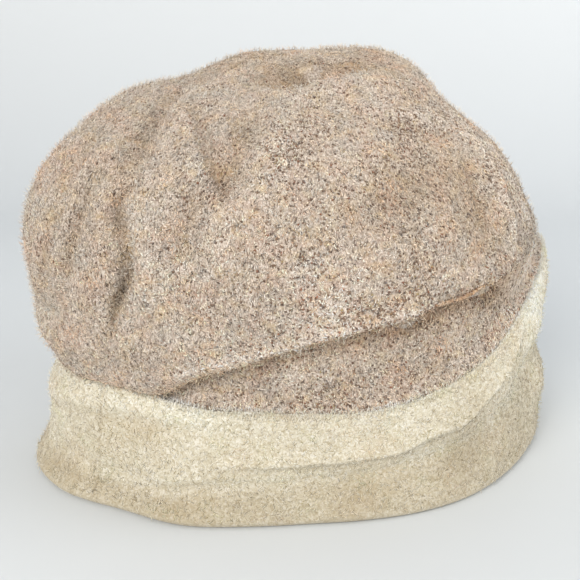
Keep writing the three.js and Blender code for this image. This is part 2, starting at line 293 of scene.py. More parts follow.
def ovalKnot(row, angles):
    oval = named(ovalColumns, row)
    c, s = np.cos(np.radians(angles)), np.sin(np.radians(angles))
    along = np.where(c > 0, oval["right"], oval["left"])
    across = np.where(s > 0, oval["back"], oval["front"])
    reach = 1 / np.hypot(c / along, s / across)
    rise = oval["riseRight"] * reach * c / oval["right"] + oval["riseBack"] * reach * s / oval["back"]
    return np.stack([reach, oval["z"] + rise], -1)


def crownKnots(angles):
    # knots of reach and height, from the hem inside the cuff over the slouch fold to the top
    cuff = readTable(cuffColumns, cuffRows, angles)
    fold = readTable(foldColumns, foldRows, angles)
    hem = np.full_like(angles, hat["footHeight"] + hat["seatGap"])
    wall = seat(cuff, cuff["height"])
    middle = cuff["height"] * hat["wallMiddle"]
    inCuff = [(seat(cuff, hem), hem), (seat(cuff, middle), middle), (wall, cuff["height"] - hat["wallEdge"])]
    lip, tuck, gap, roll = fold["lip"], fold["tuck"], fold["gap"], fold["roll"]
    folded = [
        (wall, tuck - hat["tuckRun"]),
        (wall + hat["tuckTurn"][0] * gap, tuck),
        (wall + hat["tuckTurn"][1] * gap, tuck),
        (wall + gap, (lip + tuck) / 2),
        (wall + gap + hat["lipReach"] / 2 * roll, lip),
        (wall + gap + hat["lipReach"] * roll, lip + hat["lipRise"] * roll),
    ]
    amount = fold["amount"]
    foldKnots = []
    for (up, out), (reach, z) in zip(plainPath, folded):
        plainReach = wall + out * fold["flare"]
        plainZ = cuff["height"] + up * fold["climb"]
        foldKnots.append((plainReach + amount * (reach - plainReach), plainZ + amount * (z - plainZ)))
    upper = [ovalKnot(row, angles) for row in ovalRows]
    lower = [np.stack(knot, -1) for knot in inCuff + foldKnots]
    top = np.stack([np.zeros_like(angles), np.full_like(angles, hat["top"])], -1)
    return lower, upper, top, amount


def inward(before, knot, after):
    # the knot moved through the cloth, square to its neighbours
    way = unit(after - before)
    moved = knot + hat["cloth"] * np.stack([-way[..., 1], way[..., 0]], -1)
    moved[..., 0] = np.maximum(moved[..., 0], 0)
    return moved


def insideKnots(lower, upper, top, amount):
    # the inner face runs straight past the tuck, and follows the outside everywhere else
    thin = np.array([hat["cloth"], 0])
    groove = np.stack(lower[3:6])  # the knots of the tuck, and the last one of the lower part is the lip's
    neckTop = groove[..., 1].max(0)
    neckReach = np.minimum(lower[2][:, 0], groove[..., 0].min(0))
    neck = np.stack([neckReach, neckTop + hat["neckRise"]], -1) - thin
    lip = lower[-1]
    plain = inward(lower[-2], lip, upper[0])
    foldedReach = lip[:, 0] - hat["cloth"] - hat["lipInset"]
    foldedZ = np.maximum(lip[:, 1], neckTop) + hat["lipClear"]
    aboveFold = plain + amount[:, None] * (np.stack([foldedReach, foldedZ], -1) - plain)
    outer = [lip] + upper + [top]
    offset = [inward(a, b, c) for a, b, c in zip(outer, outer[1:], outer[2:])]
    return [lower[0] - thin, lower[1] - thin, neck, aboveFold] + offset + [top - [0, hat["cloth"]]]


def throughKnots(knots, beyond, counts):
    # a centripetal curve through the knots of all the profiles at once, with its count of rows per span
    knots = [2 * knots[0] - knots[1]] + knots + [beyond]
    rows = []
    for span, count in enumerate(counts):
        p = knots[span:span + 4]
        d = [np.sqrt(np.linalg.norm(b - a, axis=-1, keepdims=True)) for a, b in zip(p, p[1:])]
        leave = (p[1] - p[0]) / d[0] - (p[2] - p[0]) / (d[0] + d[1]) + (p[2] - p[1]) / d[1]
        arrive = (p[2] - p[1]) / d[1] - (p[3] - p[1]) / (d[1] + d[2]) + (p[3] - p[2]) / d[2]
        for t in np.arange(count) / count:
            point = (1 + 2 * t) * (1 - t) ** 2 * p[1] + t * t * (3 - 2 * t) * p[2]
            rows.append(point + t * (1 - t) * d[1] * ((1 - t) * leave - t * arrive))
    return np.stack(rows + [knots[-2]])


def place(angles, reach, z):
    x = reach * np.cos(np.radians(angles)) - hat["middle"][0]
    y = reach * np.sin(np.radians(angles)) - hat["middle"][1]
    return np.stack([x, y, z], -1)


def placeOnCrown(angles, profile):
    # the profiles in space, with the side valleys pressed in and the mounds of the top laid over them
    reach, z = profile[..., 0], profile[..., 1]
    pushed = reach.copy()
    for row in sideValleys:
        valley = named(valleyColumns, row)
        run = np.clip((valley["fromZ"] - z) / (valley["fromZ"] - valley["toZ"]), 0, 1)
        middle = valley["fromAngle"] + run * (valley["toAngle"] - valley["fromAngle"])
        away = np.radians(degreesFrom(middle, angles)) * reach
        beyond = np.maximum(0, np.maximum(z - valley["fromZ"], valley["toZ"] - z))
        pushed -= valley["depth"] * hump(away, valley["width"]) * hump(beyond, valley["width"])
    x, y = pushed * np.cos(np.radians(angles)), pushed * np.sin(np.radians(angles))
    lift = np.zeros_like(z)
    for row in topMounds:
        mound = named(moundColumns, row)
        c, s = math.cos(math.radians(mound["turn"])), math.sin(math.radians(mound["turn"]))
        right, back = x - mound["x"], y - mound["y"]
        far = np.hypot((right * c + back * s) / mound["along"], (back * c - right * s) / mound["across"])
        lift += mound["rise"] * hump(far, 1)
    return place(angles, pushed, z + lift * smoothStep(z, *hat["moundHeights"]))


def normalsOf(grid):
    # of a grid of rows up the profile by columns around the hat, pointing out
    along = np.roll(grid, -1, 1) - np.roll(grid, 1, 1)
    normal = np.cross(along, np.gradient(grid, axis=0))
    length = np.linalg.norm(normal, axis=-1, keepdims=True)
    return np.where(length > 1e-9, normal / np.maximum(length, 1e-9), [0, 0, 1])


def gridFaces(rows, columns, loop=False):
    # triangles of a grid whose columns close around the hat, and its rows too where it is a loop
    i = np.arange(rows if loop else rows - 1)[:, None]
    j = np.arange(columns)[None, :]
    a = i * columns + j
    b = i * columns + (j + 1) % columns
    c = (i + 1) % rows * columns + (j + 1) % columns
    d = (i + 1) % rows * columns + j
    return np.concatenate([np.stack([a, b, c], -1).reshape(-1, 3), np.stack([a, c, d], -1).reshape(-1, 3)])


# Camera, at the height and angle of the photograph

camera = {
    "sensor": 36,
    "clip": (0.01, 20),  # m
    "focalPixels": 800,
    "framePixels": 580,
    "pitch": 17.5,
    "azimuth": -14,
    "height": 168,
    "distance": 328,
    "aside": -8,
}


def addCamera(settings):
    turn, tilt = math.radians(settings["azimuth"]), math.radians(settings["pitch"])
    back = Vector((math.sin(turn), -math.cos(turn), 0))
    right = Vector((math.cos(turn), math.sin(turn), 0))
    lens = bpy.data.cameras.new("camera")
    lens.sensor_width = settings["sensor"]
    lens.lens = settings["focalPixels"] / settings["framePixels"] * lens.sensor_width
    lens.clip_start, lens.clip_end = settings["clip"]
    holder = bpy.data.objects.new("camera", lens)
    spot = back * settings["distance"] + right * settings["aside"]
    spot -= Vector((hat["middle"][0], hat["middle"][1], -settings["height"]))
    holder.location = spot * mm
    look = -back * math.cos(tilt) - Vector((0, 0, math.sin(tilt)))
    holder.rotation_euler = look.to_track_quat("-Z", "Y").to_euler()
    bpy.context.scene.collection.objects.link(holder)
    bpy.context.scene.camera = holder


addCamera(camera)


# Materials

def woolSurface(tree, colour, look, normal=None):
    # what all the wool shares: hardly any gloss, and a soft light edge where the eye grazes the fibres
    sheen, tint = look["sheen"]
    links = {"Base Color": colour}
    if normal:
        links["Normal"] = normal
    surface = addNode(tree, "BsdfPrincipled",
                      {"Roughness": look["roughness"], "Specular IOR Level": 0.2, "Sheen Weight": sheen,
                       "Sheen Roughness": 0.5, "Sheen Tint": linearOf(tint)}, links)
    addNode(tree, "OutputMaterial", None, {"Surface": surface.outputs[0]})


tweedLook = {
    "deep": "#6f6055",  # shade between the fibres
    "under": "#a39386",
    "middle": "#c2b3a4",
    "light": "#ded4cb",
    # painted shade in the pits of the weave
    "pit": "#554740",
    "patches": (("#c8aa6c", 6.5, 0.3), ("#b48a76", 8.0, 0.25), ("#9f9c97", 10.0, 0.25)),  # dye, mm, strength
    "fibre": (0.5, 0.5, 1.5),  # mm, drawn about twice as coarse as real wool fibre bundles
    "grain": 0.75,  # mm
    "pitSpacing": 2.6,  # mm, about one yarn of the weave
    "roughness": 0.95,
    "sheen": (0.5, "#f4ece0"),
}


def fulledTweed(look):
    # Tweed wool cloth, woven and then fulled until it mats: a dull, speckled, hairy face with dark pits
    material, tree = newMaterial("fulledTweed")
    fibres = addNode(tree, "TexNoise", {"Scale": 1.0, "Detail": 2.0, "Roughness": 0.6, "Distortion": 0.9},
                     {"Vector": inMillimetres(tree, look["fibre"])})
    grain = addNode(tree, "TexNoise", {"Scale": 1.0, "Detail": 3.0, "Roughness": 0.7},
                    {"Vector": inMillimetres(tree, (look["grain"],) * 3)})
    weave = addNode(tree, "Math", {"operation": "ADD"}, {0: fibres.outputs["Fac"], 1: grain.outputs["Fac"]})
    shade = addNode(tree, "MapRange", {"From Min": 0.76, "From Max": 1.24}, {"Value": weave.outputs[0]})
    body = addNode(tree, "ValToRGB", {"stops": [(0.02, look["deep"]), (0.3, look["under"]),
                                                (0.58, look["middle"]), (0.95, look["light"])]},
                   {"Fac": shade.outputs[0]})
    colour = body.outputs["Color"]
    for dye, size, strength in look["patches"]:
        field = addNode(tree, "TexNoise", {"Scale": 1.0, "Detail": 2.0, "Roughness": 0.55},
                        {"Vector": inMillimetres(tree, (size, size * 1.13, size * 0.9))})
        mask = addNode(tree, "MapRange", {"From Min": 0.5, "From Max": 0.68, "To Max": strength},
                       {"Value": field.outputs["Fac"]})
        colour = addNode(tree, "Mix", {"data_type": "RGBA", 7: linearOf(dye)},
                         {0: mask.outputs[0], 6: colour}).outputs[2]
    pits = addNode(tree, "TexVoronoi", {"Scale": 1.0},
                   {"Vector": inMillimetres(tree, [look["pitSpacing"] * s for s in (1, 1, 1.3)])})
    chance = addNode(tree, "SeparateColor", None, {"Color": pits.outputs["Color"]})
    chosen = addNode(tree, "Math", {"operation": "GREATER_THAN", 1: 0.45}, {0: chance.outputs["Red"]})
    shape = addNode(tree, "MapRange", {"interpolation_type": "SMOOTHSTEP", "From Min": 0.3, "From Max": 0.1},
                    {"Value": pits.outputs["Distance"]})
    pitted = addNode(tree, "Math", {"operation": "MULTIPLY"}, {0: shape.outputs[0], 1: chosen.outputs[0]})
    pitShadeMask = addNode(tree, "Math", {"operation": "MULTIPLY", 1: 0.75}, {0: pitted.outputs[0]})
    # the chosen pits of the weave painted in a shade colour
    colour = addNode(tree, "Mix", {"data_type": "RGBA", 7: linearOf(look["pit"])},
                     {0: pitShadeMask.outputs[0], 6: colour}).outputs[2]
    height = addNode(tree, "Math", {"operation": "SUBTRACT"}, {0: weave.outputs[0], 1: pitted.outputs[0]})
    bump = addNode(tree, "Bump", {"Strength": 0.5, "Distance": 0.3 * mm}, {"Height": height.outputs[0]})
    # painted shade and painted light from the folds and patches, multiplied into the colour
    napAndShading = addNode(tree, "Attribute", {"attribute_name": "woolTone"})
    colour = addNode(tree, "Mix", {"data_type": "RGBA", "blend_type": "MULTIPLY", 0: 1.0},
                     {6: colour, 7: napAndShading.outputs["Color"]}).outputs[2]
    woolSurface(tree, colour, look, bump.outputs[0])
    return material


feltLook = {
    "deep": "#b9ad94",
    "middle": "#cfc7b2",
    "light": "#e4dfd3",
    "patch": "#b5a17f",
    "wormSize": 1.3,  # mm, the curled fibres on the face of the felt
    "patchSize": 24,
    "roughness": 0.97,
    "sheen": (0.3, "#fbf6ea"),
}


def boiledWool(look):
    # Knitted wool boiled and felted: a matt cream face covered in short curled fibres
    material, tree = newMaterial("boiledWool")
    worms = addNode(tree, "TexNoise", {"Scale": 1.0, "Detail": 2.0, "Roughness": 0.55, "Distortion": 1.4},
                    {"Vector": inMillimetres(tree, (look["wormSize"],) * 3)})
    body = addNode(tree, "ValToRGB", {"stops": [(0.3, look["deep"]), (0.5, look["middle"]),
                                                (0.68, look["light"])]},
                   {"Fac": worms.outputs["Fac"]})
    patches = addNode(tree, "TexNoise", {"Scale": 1.0, "Detail": 3.0, "Roughness": 0.6},
                      {"Vector": inMillimetres(tree, (look["patchSize"],) * 3)})
    mask = addNode(tree, "MapRange", {"From Min": 0.5, "From Max": 0.75, "To Max": 0.45},
                   {"Value": patches.outputs["Fac"]})
    dyed = addNode(tree, "Mix", {"data_type": "RGBA", 7: linearOf(look["patch"])},
                   {0: mask.outputs[0], 6: body.outputs["Color"]})
    # painted shade and painted light from the folds and patches, multiplied into the colour
    napAndShading = addNode(tree, "Attribute", {"attribute_name": "woolTone"})
    coloured = addNode(tree, "Mix", {"data_type": "RGBA", "blend_type": "MULTIPLY", 0: 1.0},
                       {6: dyed.outputs[2], 7: napAndShading.outputs["Color"]})
    bump = addNode(tree, "Bump", {"Strength": 0.5, "Distance": 0.3 * mm}, {"Height": worms.outputs["Fac"]})
    woolSurface(tree, coloured.outputs[2], look, bump.outputs[0])
    return material


looseSheen = (0.4, "#fbf3e6")


def looseWool(name, roughness):
    # Single strands of dyed wool, each in its own tone with the painted shade and light of its place: matt,
    # soft and lighter where the eye grazes them
    material, tree = newMaterial(name)
    tone = addNode(tree, "Attribute", {"attribute_name": "woolTone"})
    woolSurface(tree, tone.outputs["Color"], {"roughness": roughness, "sheen": looseSheen})
    return material


tweedCloth = fulledTweed(tweedLook)
cuffFelt = boiledWool(feltLook)
tweedStrand = looseWool("tweedStrand", tweedLook["roughness"])
feltStrand = looseWool("feltStrand", feltLook["roughness"])
print("materials made")


# The crown: one cloth, folded over its own lower wall, with its soft folds and a slightly lumpy face

crown = {
    "spans": ((-180, -20, 250), (-20, 180, 130)),
    "rows": (3, 3, 22, 3, 4, 4, 5, 6, 14, 17, 18, 16, 22, 30),  # for each span between the outer knots
    "insideRows": (2, 2, 3, 3, 3, 3, 3, 3, 4),
    "grooveRows": (28, 42),  # the rows behind the lip, which stay as they are
    "grooveSoft": 2,  # rows over which that fades, to either side
    "settle": -0.5,  # mm that the cloth lies under the level of its nap
    "undulation": ((46, 0.3), (19, 0.25), (7, 0.12)),  # mm wide, mm high
    "seed": 0,
    "foldsFrom": (1, 8),  # mm over the band's edge, the soft folds fade in between these
    # the cloth swells over the edge of the band, but less where the slouch hangs over it
    "overBand": {"rise": 2.7, "height": 0.3, "under": 2.2, "over": 5},
    "underSlouch": {"less": 0.9, "angle": -155, "wide": 24},
    "lightByBand": {"pale": 0.15, "height": 0.5, "tall": 2.5},  # painted light where the cloth meets the band's edge
    "inFold": (0.09, -0.08, -0.28),  # light that comes back from wool in the deep fold is warmer
    "inFoldRows": (21, 49),
    "inFoldSoft": 3,
    "shadingTurn": (0.27, 0.05),  # how far painted shade and painted light turn in hue
}

# Soft folds, sharper than those of the solids. Each has a valley of this depth along its route, or a ridge if
# below 0, and a roll beside it, to the right of the way that the route takes. Its shade column paints shade
# into the hollows and light onto the raised parts.
softFoldColumns = "name shade depth width roll aside rollWidth fade route"
softFolds = [
    ("left pinch", 0.24, 3.2, 1.8, 1.2, 6.5, 4.5, 9,
     [(-76, -52, 84), (-74, -53, 90), (-73, -52, 97), (-73, -50, 102), (-74, -48, 107)]),
    ("foot of the pinch", 0.1, 1.2, 2.6, 0.5, 6.5, 4.5, 6,
     [(-80, -50, 72), (-78, -51, 78), (-76, -51, 84)]),
    ("neck of the pinch", 0.1, 1.2, 2.6, 0.5, 6.5, 4.5, 6,
     [(-75, -48, 108), (-74, -46, 114), (-72, -46, 120)]),
    ("edge of the lip", 0.2, -0.5, 2.2, 0, 8, 4, 12,
     [(-52, -66, 60), (-39, -70, 64), (-29, -72, 66), (-16, -75, 70), (-6, -76, 73), (4, -77, 75),
      (15, -78, 77)]),
    ("top of the pinch", 0.06, 2, 4.5, 0.8, 10, 4, 6,
     [(-79, -47, 108), (-77, -46, 114), (-74, -45, 119)]),
    ("left soft crease", 0.12, 2.4, 2.4, 1, -5, 3.5, 7,
     [(-94, -37, 93), (-92, -37, 99), (-89, -37, 108), (-84, -34, 120)]),
    ("outer left hollow", 0.12, 2.4, 4.5, 0, 8, 4, 9,
     [(-104, -26, 87), (-100, -29, 101), (-96, -28, 113), (-91, -24, 124), (-83, -17, 133)]),
    ("hollow over the pinch", 0.12, 4.4, 6, 2.2, 10, 4.5, 8,
     [(-71, -38, 128), (-66, -32, 134), (-61, -24, 140), (-55, -13, 145)]),
    ("brow crease", 0.14, 2.4, 1.9, 0.8, -5, 3.5, 5,
     [(-40, -58, 121), (-43, -52, 128), (-45, -43, 133), (-45, -34, 138), (-46, -22, 144)]),
    ("brow hollow", 0.1, 4.6, 6.5, 2.2, 13, 5.5, 9,
     [(-55, -63, 105), (-52, -60, 114), (-46, -58, 120), (-38, -54, 127), (-33, -48, 133),
      (-29, -38, 140)]),
    ("left crest", 0.1, -1.4, 3, -5, -8, 4.5, 8,
     [(-46, -7, 148), (-38, -4, 151), (-28, -1, 154), (-13, 13, 158), (3, 14, 161)]),
    ("bowl", 0.18, 5.2, 7, 2, 10, 4, 10,
     [(-14, -14, 153), (-6, -16, 153), (7, -8, 153), (15, -10, 155)]),
    ("front ridge", 0.08, -1.6, 3.4, 0, -7, 4, 12,
     [(-5, -31, 148), (4, -29, 150), (13, -26, 152), (25, -28, 152), (39, -26, 150)]),
    ("right shoulder ridge", 0.1, -2, 4, -1.6, 7, 4.5, 12,
     [(22, -40, 143), (35, -40, 140), (47, -39, 136), (59, -42, 128), (63, -49, 118), (66, -56, 103)]),
    ("right hollow", 0.12, 3.4, 11, 0, 8, 4, 14,
     [(11, -70, 115), (23, -65, 121), (37, -58, 125), (47, -58, 120), (49, -62, 112)]),
    ("right crease", 0.12, 1.3, 2.4, 0.8, -5, 3.5, 8,
     [(52, -52, 123), (53, -59, 114), (54, -63, 105)]),
    ("under the lip", 0.1, 2.6, 4, 1.2, -8, 4, 9,
     [(24, -69, 73), (31, -74, 77), (42, -73, 80), (59, -59, 79), (69, -54, 81)]),
    ("behind the crest", 0.08, 3, 11, 0, 8, 4, 10,
     [(-36, 16, 153), (-25, 20, 158), (-15, 22, 161), (-5, 21, 162)]),
    ("right top corner", 0, -2, 8, 0, 8, 4, 10,
     [(33, 1, 161), (39, -2, 159), (43, -8, 156)]),
]


# the band's soft folds, in the same columns, with painted shade in their hollows and painted light on their
# raised parts
bandFolds = [
    ("edge of the top roll", 0.09, 0.6, 2.1, 0.9, -2.2, 1.2, 14,
     [(-32, -72, 22), (-21, -74, 22), (-11, -75, 22), (3, -77, 23), (16, -78, 24), (29, -77, 28),
      (43, -74, 31), (56, -70, 38), (67, -62, 44), (74, -57, 51)]),
    ("lower left line", 0.05, 0.4, 1.6, 0.3, -2.5, 1.6, 12,
     [(-99, -36, 8), (-81, -50, 10), (-64, -62, 14), (-49, -68, 16)]),
    ("upper left wave", 0.06, 0.6, 3, 0.5, -4, 2.5, 14,
     [(-101, -19, 32), (-90, -37, 35), (-76, -49, 36), (-63, -59, 36)]),
]


# Low swellings, or hollows if below 0, by their middle in degrees and mm and their half sizes
bumpColumns = "angle z rise wide tall"
crownBumps = [(-171, 64, 1.3, 20, 6), (-168, 53, -0.8, 20, 5)]
bandBumps = [
    (-178, 36, 3.0, 22, 7), (-178, 13, -3.2, 24, 8), (-17, 60, -1.8, 18, 6), (-14, 36, -1.4, 16, 5),
    (-18, 23, 1.2, 20, 6),
]

# Places painted darker as shade, or lighter as light if below 0: x, y, z, mm wide and strength
shadingPatchColumns = "name x y z wide dark"
crownShadingPatches = [
    ("right hollow", 31, -64, 120, 15, 0.11),
    ("right hollow, top", 47, -52, 126, 9, 0.1),
    ("right hollow, left", 17, -69, 116, 9, 0.05),
    ("bowl, left", -9, -5, 155, 8, 0.2),
    ("bowl", 0, -7, 154, 9, 0.26),
    ("bowl, right", 15, -11, 155, 9, 0.28),
    ("far side of the bowl", 30, -2, 160, 9, 0.14),
    ("top right corner", 32, -21, 155, 9, 0.2),
    ("front bulge", -10, -77, 86, 16, -0.12),
    ("front bulge, low", -9, -76, 72, 12, -0.24),
    ("lip", -20, -65, 58, 7, -0.2),
    ("lip, left", -35, -70, 63, 7, -0.17),
    ("lip, far left", -44, -68, 62, 6, -0.11),
    ("left of the brow ridge", -54, -66, 94, 12, -0.08),
    ("left of the brow ridge, low", -55, -66, 73, 12, -0.07),
    ("ridge by the brow", -42, -60, 119, 8, -0.12),
    ("ridge by the brow, top", -26, -52, 132, 9, -0.14),
    ("ridge by the brow, low", -49, -66, 104, 8, -0.1),
    ("brow hollow", -40, -51, 129, 7, 0.06),
    ("left edge of the brow", -67, -44, 126, 9, 0.08),
    ("inside the right edge", 53, -64, 105, 12, 0.16),
    ("inside the right edge, low", 59, -58, 78, 12, 0.12),
    ("right edge, top", 78, -44, 104, 7, -0.28),
    ("right edge", 86, -38, 83, 10, -0.3),
    ("right edge, low", 76, -51, 61, 8, -0.28),
    ("lower wall", 31, -69, 53, 10, 0.06),
    ("lower wall, left", 12, -69, 51, 10, 0.04),
    ("right shoulder", 36, -37, 143, 12, 0.05),
]
# painted shade and painted light on the band
bandShadingPatches = [
    ("under the roll, right", 45, -71, 21, 12, 0.26),
    ("foot, left of the front", -71, -59, 8, 14, 0.05),
    ("roll under the slouch", -65, -55, 45, 8, -0.04),
    ("front left of the band", -85, -42, 30, 16, 0.1),
    ("front of the band", -22, -71, 36, 14, 0.05),
    ("roll, left", -78, -45, 43, 10, -0.07),
    ("roll, front left", -56, -62, 41, 8, -0.1),
    ("roll, far left", -87, -37, 44, 7, -0.02),
    ("right end, top", 89, -41, 66, 14, -0.24),
    ("right end", 95, -33, 36, 16, -0.18),
    ("right foot", 80, -54, 11, 12, 0.1),
    ("roll, front right", 46, -72, 42, 12, 0.14),
    ("roll, right", 63, -61, 55, 9, 0.06),
]
# Painted shade below the valley, painted light on top and at the turned-over edge, and the dark line of the
# seam
cuffShadingAndSeam = {
    "low": 0.22,  # painted shade below the valley
    "lowFrom": (3, -4),  # mm over the valley
    "top": 0.06,  # painted light on top
    "topFrom": (-12, -4),  # mm over the edge
    "seam": 0.22,
    "seamWidth": 0.45,  # mm
    "edge": 0.35,  # painted highlight where the felt turns over at the top
    "edgeRow": 5,  # counted from the last row outside
    "edgeRows": 4,
}
foldReach = (30, 20)  # mm from a route, a fold is gone at the first and whole at the second
rollPale = 0.4  # the roll beside a valley is painted paler, by this share of the valley's painted shade
hueTurn = (-1, 0, 1.5)  # for red, green and blue


def throughRoute(route, steps=8):
    # a smooth line through the points of a route
    spots = np.array(route, float)
    ends = [2 * spots[0] - spots[1], 2 * spots[-1] - spots[-2]]
    p = np.concatenate([ends[:1], spots, ends[1:]])
    t = (np.arange(steps) / steps)[:, None]
    line = [p[i] + 0.5 * t * (p[i + 1] - p[i - 1] + t * (2 * p[i - 1] - 5 * p[i] + 4 * p[i + 1] - p[i + 2]
                              + t * (3 * p[i] - p[i - 1] - 3 * p[i + 1] + p[i + 2])))
            for i in range(1, len(spots))]
    return np.concatenate(line + [spots[-1:]])


def besideRoute(points, normals, fold):
    # for the points near a route: which ones, how far to its right, and how much of the fold is left there
    line = throughRoute(fold["route"])
    ways = unit(np.gradient(line, axis=0))
    most = foldReach[0]
    near = np.nonzero(((points > line.min(0) - most) & (points < line.max(0) + most)).all(1))[0]
    spots, facing = points[near], normals[near]
    far = np.full(len(near), np.inf)
    aside = np.zeros(len(near))
    beyond = np.zeros(len(near))
    for i, (spot, way) in enumerate(zip(line, ways)):
        off = spots - spot
        distance = np.linalg.norm(off, axis=1)
        along = off @ way
        right = (off * unit(np.cross(way, facing))).sum(1)
        closer = distance < far
        past = -along if i == 0 else along if i == len(line) - 1 else 0 * along
        far = np.where(closer, distance, far)
        aside = np.where(closer, right, aside)
        beyond = np.where(closer, np.maximum(past, 0), beyond)
    return near, aside, hump(beyond, fold["fade"]) * smoothStep(far, *foldReach)


def foldsOf(grid, normals, rows):
    # the rise of all the folds, and the shade painted into their hollows and the light painted onto their
    # raised parts
    points, facing = grid.reshape(-1, 3), normals.reshape(-1, 3)
    rise, dark = np.zeros((2, len(points)))
    for row in rows:
        fold = named(softFoldColumns, row)
        near, aside, left = besideRoute(points, facing, fold)
        valley = hump(aside, fold["width"]) * left
        roll = hump(aside - fold["aside"], fold["rollWidth"]) * left
        rise[near] += fold["roll"] * roll - fold["depth"] * valley
        shade = math.copysign(1, fold["depth"]) * valley - rollPale * np.sign(fold["roll"]) * roll
        dark[near] += fold["shade"] * shade
    return rise.reshape(grid.shape[:-1]), dark.reshape(grid.shape[:-1])


# painted shade, or painted light where below 0, around each listed place
def paintedShadingOf(grid, rows):
    dark = np.zeros(grid.shape[:-1])
    for row in rows:
        patch = named(shadingPatchColumns, row)
        far = np.linalg.norm(grid - [patch["x"], patch["y"], patch["z"]], axis=-1)
        dark += patch["dark"] * hump(far, patch["wide"])
    return dark


def paintedShadingTone(dark, warm, pale):
    # painted shade turns warmer as it deepens, and painted light turns paler
    turned = np.where(dark > 0, warm, pale)[..., None] * np.array(hueTurn)
    return np.exp(-dark[..., None] * (1 + turned))


def bumpRise(grid, angles, rows):
    rise = 0
    for row in rows:
        bump = named(bumpColumns, row)
        across = hump(degreesFrom(bump["angle"], angles), bump["wide"])
        rise = rise + bump["rise"] * across * hump(grid[..., 2] - bump["z"], bump["tall"])
    return rise


def lumpsOf(grid, settings):
    lumps = [high * waves(grid, wide, wide + settings["seed"]) for wide, high in settings["undulation"]]
    return settings["settle"] + sum(lumps)


def settled(grid, angles, settings, shown):
    # the cloth with its folds and lumps, moved along its own normals, and the shade and light painted on it
    normals = normalsOf(grid)
    overEdge = grid[..., 2] - readTable(cuffColumns, cuffRows, angles)["height"]
    free = smoothStep(overEdge, *settings["foldsFrom"]) * shown[:, None]
    swell, slouch, paintedLightByBand = settings["overBand"], settings["underSlouch"], settings["lightByBand"]
    above = overEdge - swell["height"]
    tall = np.where(above > 0, swell["over"], swell["under"])
    swelling = swell["rise"] * hump(above, tall) * shown[:, None]
    swelling *= 1 - slouch["less"] * hump(degreesFrom(slouch["angle"], angles), slouch["wide"])
    rise = lumpsOf(grid, settings) + bumpRise(grid, angles, crownBumps)
    folds, dark = foldsOf(grid, normals, softFolds)
    dark = dark * free + paintedShadingOf(grid, crownShadingPatches)
    # painted light where the cloth meets the band's edge
    dark = dark - paintedLightByBand["pale"] * hump(overEdge - paintedLightByBand["height"], paintedLightByBand["tall"])
    return grid + normals * ((rise + folds) * free + swelling)[..., None], paintedShadingTone(dark, *settings["shadingTurn"])


def softened(rows, reach):
    # each row's value averaged with this many rows to either side
    around = 2 * reach + 1
    return np.convolve(np.pad(rows, reach, mode="edge"), np.ones(around) / around, "valid")


def crownSurfaces(settings):
    angles = spread(settings["spans"])
    lower, upper, top, amount = crownKnots(angles)
    across = ovalKnot(ovalRows[-1], angles + 180) * [-1, 1]  # the crest on the far side of the top
    outer = placeOnCrown(angles, throughKnots(lower + upper + [top], across, settings["rows"]))
    inside = insideKnots(lower, upper, top, amount)
    inner = placeOnCrown(angles, throughKnots(inside, across - [0, hat["cloth"]], settings["insideRows"]))
    shown = np.ones(len(outer))
    shown[slice(*settings["grooveRows"])] = 0
    outer, tone = settled(outer, angles, settings, softened(shown, settings["grooveSoft"]))
    inner, _ = settled(inner, angles, settings, np.ones(len(inner)))
    deep = np.zeros(len(outer))
    deep[slice(*settings["inFoldRows"])] = 1
    deep = softened(deep, settings["inFoldSoft"])[:, None] * amount
    return outer, inner, tone * np.exp(deep[..., None] * np.array(settings["inFold"]))


def closedCrown(outer, inner, outerPaintedShading):
    # rings from the top down the inside and up the outside again, with a point in the middle of each top
    rings = np.concatenate([inner[-2::-1], outer[:-1]])
    points = np.concatenate([rings.reshape(-1, 3), inner[-1, :1], outer[-1, :1]])
    columns = rings.shape[1]
    firstRing = np.arange(columns)
    lastRing = firstRing + (len(rings) - 1) * columns
    underPole = np.full(columns, len(points) - 2)
    overPole = np.full(columns, len(points) - 1)
    faces = np.concatenate([
        gridFaces(len(rings), columns),
        np.stack([underPole, np.roll(firstRing, -1), firstRing], -1),
        np.stack([lastRing, np.roll(lastRing, -1), overPole], -1),
    ])
    # the painted shade and light go on the outside only
    tones = np.ones((len(points), 4))
    tones[(len(inner) - 1) * columns:-2, :3] = outerPaintedShading[:-1].reshape(-1, 3)
    tones[-1, :3] = outerPaintedShading[-1, 0]
    return points, faces, tones


# the crown's cloth, with the shade and light painted on it
crownOuter, crownInner, crownPaintedShading = crownSurfaces(crown)
crownPoints, crownFaces, clothPaintedShading = closedCrown(crownOuter, crownInner, crownPaintedShading)
crownCloth = buildPiece("crownCloth", crownPoints, crownFaces, tweedCloth, clothPaintedShading)
print("crown:", len(crownFaces), "faces")


# The band: the doubled felt with its fold at the bottom, its long valley and the seam on the left

band = {
    "spans": ((-180, -158, 30), (-158, -151, 26), (-151, 0, 230), (0, 180, 170)),
    "underRun": 5,  # mm from the toe to the next row of the underside
    "footRows": 6,
    "faceRows": 44,
    "edgeRows": 14,
    "insideShares": (0.25, 0.5, 0.75, 1),
    "fadeRows": 8,  # the last rows outside, where the lumps and folds fade out
    "seamAngle": -156,
    "seamWidth": 0.5,  # mm
    "seamDepth": 0.35,
    "seamFrom": (1, 4),  # mm over the floor
    "lumpsFrom": (1, 7),
    "undulation": ((34, 0.4), (11, 0.22), (4, 0.08)),
    "seed": 50,
    "settle": -0.35,
    # how far the band's painted shade and painted light turn in hue
    "shadingTurn": (0.16, 0.2),
}


def arc(middleReach, middleZ, wide, high, start, end, steps):
    # knots of reach and height along part of an oval
    turns = np.radians(np.linspace(start, end, steps + 1))
    return [(middleReach + wide * math.cos(turn), middleZ + high * math.sin(turn)) for turn in turns]


